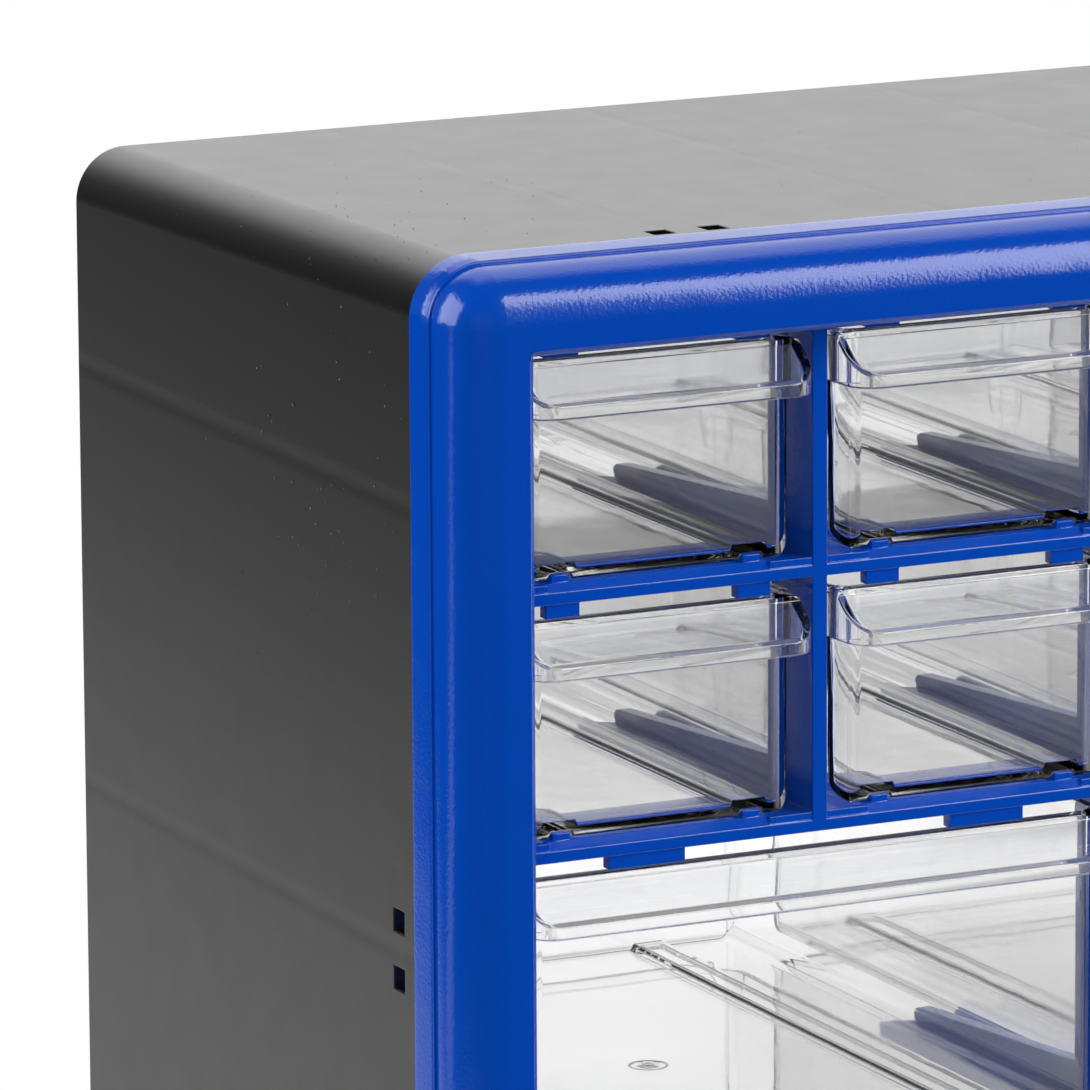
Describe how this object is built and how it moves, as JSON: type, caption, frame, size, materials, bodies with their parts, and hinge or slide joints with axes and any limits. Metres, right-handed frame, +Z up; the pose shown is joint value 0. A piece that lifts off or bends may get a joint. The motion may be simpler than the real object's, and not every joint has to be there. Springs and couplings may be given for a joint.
{
  "type": "parts bin cabinet",
  "caption": "Small parts cabinet: an open-backed moulded case, a crowned front frame with a recessed grid, and clear drawers that slide on ledges.",
  "frame": {"origin": "middle of the underside, on the surface that the cabinet stands on", "axes": "+Z up, -Y out of the front, +X to the right seen from the front"},
  "size_m": [0.2588, 0.1588, 0.2311],
  "materials": {
    "case_plastic": "satin, fine grain",
    "frame_plastic": "satin, faint orange peel",
    "drawer_plastic": "clear, polished"
  },
  "bodies": {
    "cabinet": {"case_shell": "case_plastic", "front_frame": "frame_plastic", "drawer_grid": "frame_plastic"},
    "small_drawer_a1": {"small_drawer_a1": "drawer_plastic"},
    "small_drawer_a2": {"small_drawer_a2": "drawer_plastic"},
    "small_drawer_a3": {"small_drawer_a3": "drawer_plastic"},
    "small_drawer_a4": {"small_drawer_a4": "drawer_plastic"},
    "small_drawer_b1": {"small_drawer_b1": "drawer_plastic"},
    "small_drawer_b2": {"small_drawer_b2": "drawer_plastic"},
    "small_drawer_b3": {"small_drawer_b3": "drawer_plastic"},
    "small_drawer_b4": {"small_drawer_b4": "drawer_plastic"},
    "large_drawer_c1": {"large_drawer_c1": "drawer_plastic"},
    "large_drawer_c2": {"large_drawer_c2": "drawer_plastic"},
    "large_drawer_d1": {"large_drawer_d1": "drawer_plastic"},
    "large_drawer_d2": {"large_drawer_d2": "drawer_plastic"}
  },
  "joints": [
    {"name": "small_drawer_a1_slide", "type": "slide", "parent": "cabinet", "child": "small_drawer_a1", "axis": [0, -1, 0], "range_m": [0, 0.118]},
    {"name": "small_drawer_a2_slide", "type": "slide", "parent": "cabinet", "child": "small_drawer_a2", "axis": [0, -1, 0], "range_m": [0, 0.118]},
    {"name": "small_drawer_a3_slide", "type": "slide", "parent": "cabinet", "child": "small_drawer_a3", "axis": [0, -1, 0], "range_m": [0, 0.118]},
    {"name": "small_drawer_a4_slide", "type": "slide", "parent": "cabinet", "child": "small_drawer_a4", "axis": [0, -1, 0], "range_m": [0, 0.118]},
    {"name": "small_drawer_b1_slide", "type": "slide", "parent": "cabinet", "child": "small_drawer_b1", "axis": [0, -1, 0], "range_m": [0, 0.118]},
    {"name": "small_drawer_b2_slide", "type": "slide", "parent": "cabinet", "child": "small_drawer_b2", "axis": [0, -1, 0], "range_m": [0, 0.118]},
    {"name": "small_drawer_b3_slide", "type": "slide", "parent": "cabinet", "child": "small_drawer_b3", "axis": [0, -1, 0], "range_m": [0, 0.118]},
    {"name": "small_drawer_b4_slide", "type": "slide", "parent": "cabinet", "child": "small_drawer_b4", "axis": [0, -1, 0], "range_m": [0, 0.118]},
    {"name": "large_drawer_c1_slide", "type": "slide", "parent": "cabinet", "child": "large_drawer_c1", "axis": [0, -1, 0], "range_m": [0, 0.118]},
    {"name": "large_drawer_c2_slide", "type": "slide", "parent": "cabinet", "child": "large_drawer_c2", "axis": [0, -1, 0], "range_m": [0, 0.118]},
    {"name": "large_drawer_d1_slide", "type": "slide", "parent": "cabinet", "child": "large_drawer_d1", "axis": [0, -1, 0], "range_m": [0, 0.118]},
    {"name": "large_drawer_d2_slide", "type": "slide", "parent": "cabinet", "child": "large_drawer_d2", "axis": [0, -1, 0], "range_m": [0, 0.118]}
  ]
}
